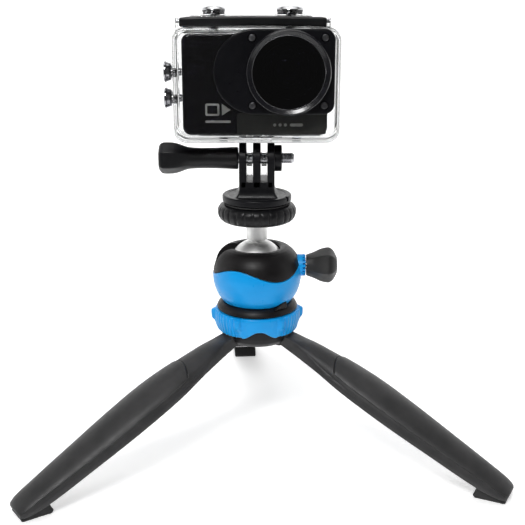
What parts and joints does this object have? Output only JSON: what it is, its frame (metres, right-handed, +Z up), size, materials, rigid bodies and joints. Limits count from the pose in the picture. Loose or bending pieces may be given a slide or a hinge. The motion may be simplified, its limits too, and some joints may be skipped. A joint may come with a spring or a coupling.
{
  "type": "action camera",
  "caption": "Small box camera in a clear latched dive housing, pitch-hinged on a round adapter over a lockable ball head with folding tripod legs.",
  "frame": {"origin": "centre of the object's box on the floor plane, legs spread", "axes": "+Z up, -Y where the lens looks, +X towards the lens's side of the camera, the longest extent"},
  "size_m": [0.2084, 0.1882, 0.1963],
  "materials": {
    "clear_plastic": "clear polycarbonate, polished, slightly whitish at the edges",
    "camera_black": "piano-black moulded shell",
    "black_plastic": "black nylon with a fine moulded grain",
    "dome_black": "warm black, satin",
    "leg_grey": "dark grey, fine matte grain",
    "rubber": "matte moulded rubber",
    "azure_plastic": "azure blue moulded plastic, satin gloss",
    "satin_steel": "satin turned metal",
    "chrome": "bright plated buttons",
    "brass": "turned brass",
    "port_glass": "dark coated flat glass",
    "board_green": "green circuit board",
    "battery_grey": "plain wrapped cell",
    "seal_white": "white nylon and silicone"
  },
  "bodies": {
    "head_base": {"hub_body": "black_plastic", "hub_collar": "dome_black", "hub_screw": "satin_steel", "ball_cup": "azure_plastic", "ball_dome": "dome_black", "ball_seat": "seal_white", "clamp_shoe": "brass", "leg_pin_1": "satin_steel", "leg_pin_2": "satin_steel", "leg_pin_3": "satin_steel"},
    "leg_1": {"leg_1": "leg_grey", "foot_1": "rubber"},
    "leg_2": {"leg_2": "leg_grey", "foot_2": "rubber"},
    "leg_3": {"leg_3": "leg_grey", "foot_3": "rubber"},
    "leg_ring": {"leg_ring": "azure_plastic"},
    "ball_stud": {"ball_stud": "satin_steel"},
    "lock_knob": {"lock_knob": "black_plastic", "lock_screw": "satin_steel"},
    "platform": {"platform_ring": "black_plastic", "platform_pad": "rubber"},
    "adapter": {"mount_adapter": "black_plastic", "adapter_insert": "brass", "clamp_nut": "satin_steel"},
    "case": {"case_front": "clear_plastic", "door_seal": "seal_white", "door_pin": "satin_steel", "latch_pin": "satin_steel", "port_plate": "black_plastic", "port_bezel": "black_plastic", "port_glass": "port_glass", "port_screw_1": "satin_steel", "port_screw_2": "satin_steel", "port_screw_3": "satin_steel", "port_screw_4": "satin_steel", "shutter_spring": "satin_steel", "power_spring": "satin_steel", "upper_spring": "satin_steel", "lower_spring": "satin_steel", "camera_front_shell": "camera_black", "camera_back_shell": "camera_black", "rear_screen": "port_glass", "lens_barrel": "black_plastic", "lens_element": "port_glass", "image_sensor": "port_glass", "main_board": "board_green", "battery": "battery_grey"},
    "thumbscrew": {"thumb_handle": "black_plastic", "thumb_bolt": "satin_steel"},
    "latch": {"latch_lever": "black_plastic"},
    "door": {"case_door": "clear_plastic"},
    "shutter_button": {"shutter_button": "chrome"},
    "camera_shutter_key": {"camera_shutter_key": "chrome"},
    "power_button": {"power_button": "chrome"},
    "camera_power_key": {"camera_power_key": "chrome"},
    "upper_button": {"upper_button": "chrome"},
    "camera_upper_key": {"camera_upper_key": "chrome"},
    "lower_button": {"lower_button": "chrome"},
    "camera_lower_key": {"camera_lower_key": "chrome"}
  },
  "joints": [
    {"name": "leg_fold_1", "type": "hinge", "parent": "head_base", "child": "leg_1", "pos_m": [-0.01373, -0.03043, 0.0555], "axis": [0.5592, -0.829, 0], "range_deg": [0, 62]},
    {"name": "leg_fold_2", "type": "hinge", "parent": "head_base", "child": "leg_2", "pos_m": [0.00701, -0.02898, 0.0555], "axis": [0.4384, 0.8988, 0], "range_deg": [0, 62]},
    {"name": "leg_fold_3", "type": "hinge", "parent": "head_base", "child": "leg_3", "pos_m": [-0.00462, -0.01175, 0.0555], "axis": [-0.9976, -0.0698, 0], "range_deg": [0, 62]},
    {"name": "leg_ring_turn", "type": "hinge", "parent": "head_base", "child": "leg_ring", "pos_m": [-0.00378, -0.02372, 0.062], "axis": [0, 0, 1], "range_deg": [0, 60]},
    {"name": "ball_tilt", "type": "hinge", "parent": "head_base", "child": "ball_stud", "pos_m": [-0.00378, -0.02372, 0.086], "axis": [0, 1, 0], "range_deg": [-80, 24]},
    {"name": "lock_knob_turn", "type": "hinge", "parent": "head_base", "child": "lock_knob", "pos_m": [0.01782, -0.02372, 0.086], "axis": [1, 0, 0], "continuous": true},
    {"name": "platform_turn", "type": "hinge", "parent": "ball_stud", "child": "platform", "pos_m": [-0.00378, -0.02372, 0.1068], "axis": [0, 0, 1], "continuous": true},
    {"name": "camera_pan", "type": "hinge", "parent": "ball_stud", "child": "adapter", "pos_m": [-0.00378, -0.02372, 0.1152], "axis": [0, 0, -1], "continuous": true},
    {"name": "camera_pitch", "type": "hinge", "parent": "adapter", "child": "case", "pos_m": [-0.00378, -0.02372, 0.1336], "axis": [1, 0, 0], "range_deg": [-80, 90]},
    {"name": "thumbscrew_turn", "type": "hinge", "parent": "adapter", "child": "thumbscrew", "pos_m": [-0.00378, -0.02372, 0.1336], "axis": [1, 0, 0], "continuous": true},
    {"name": "latch_lift", "type": "hinge", "parent": "case", "child": "latch", "pos_m": [-0.00378, -0.03522, 0.1911], "axis": [1, 0, 0], "range_deg": [0, 75]},
    {"name": "door_open", "type": "hinge", "parent": "case", "child": "door", "pos_m": [-0.00378, -0.01192, 0.1401], "axis": [-1, 0, 0], "range_deg": [0, 100]},
    {"name": "shutter_press", "type": "slide", "parent": "case", "child": "shutter_button", "axis": [0, 0, -1], "range_m": [0, 0.0015], "stiffness_N_per_m": 700, "springref_m": -0.0008, "deforming": ["shutter_spring"]},
    {"name": "camera_shutter_press", "type": "slide", "parent": "case", "child": "camera_shutter_key", "axis": [0, 0, -1], "range_m": [0, 0.001]},
    {"name": "power_press", "type": "slide", "parent": "case", "child": "power_button", "axis": [0, 0, -1], "range_m": [0, 0.0015], "stiffness_N_per_m": 700, "springref_m": -0.0008, "deforming": ["power_spring"]},
    {"name": "camera_power_press", "type": "slide", "parent": "case", "child": "camera_power_key", "axis": [0, 0, -1], "range_m": [0, 0.001]},
    {"name": "upper_press", "type": "slide", "parent": "case", "child": "upper_button", "axis": [1, 0, 0], "range_m": [0, 0.0012], "stiffness_N_per_m": 700, "springref_m": -0.0008, "deforming": ["upper_spring"]},
    {"name": "camera_upper_press", "type": "slide", "parent": "case", "child": "camera_upper_key", "axis": [1, 0, 0], "range_m": [0, 0.0009]},
    {"name": "lower_press", "type": "slide", "parent": "case", "child": "lower_button", "axis": [1, 0, 0], "range_m": [0, 0.0012], "stiffness_N_per_m": 700, "springref_m": -0.0008, "deforming": ["lower_spring"]},
    {"name": "camera_lower_press", "type": "slide", "parent": "case", "child": "camera_lower_key", "axis": [1, 0, 0], "range_m": [0, 0.0009]}
  ],
  "couplings": [
    {"joint": "camera_shutter_press", "follows": "shutter_press", "ratio": 0.6},
    {"joint": "camera_power_press", "follows": "power_press", "ratio": 0.6},
    {"joint": "camera_upper_press", "follows": "upper_press", "ratio": 0.7083},
    {"joint": "camera_lower_press", "follows": "lower_press", "ratio": 0.7083}
  ]
}
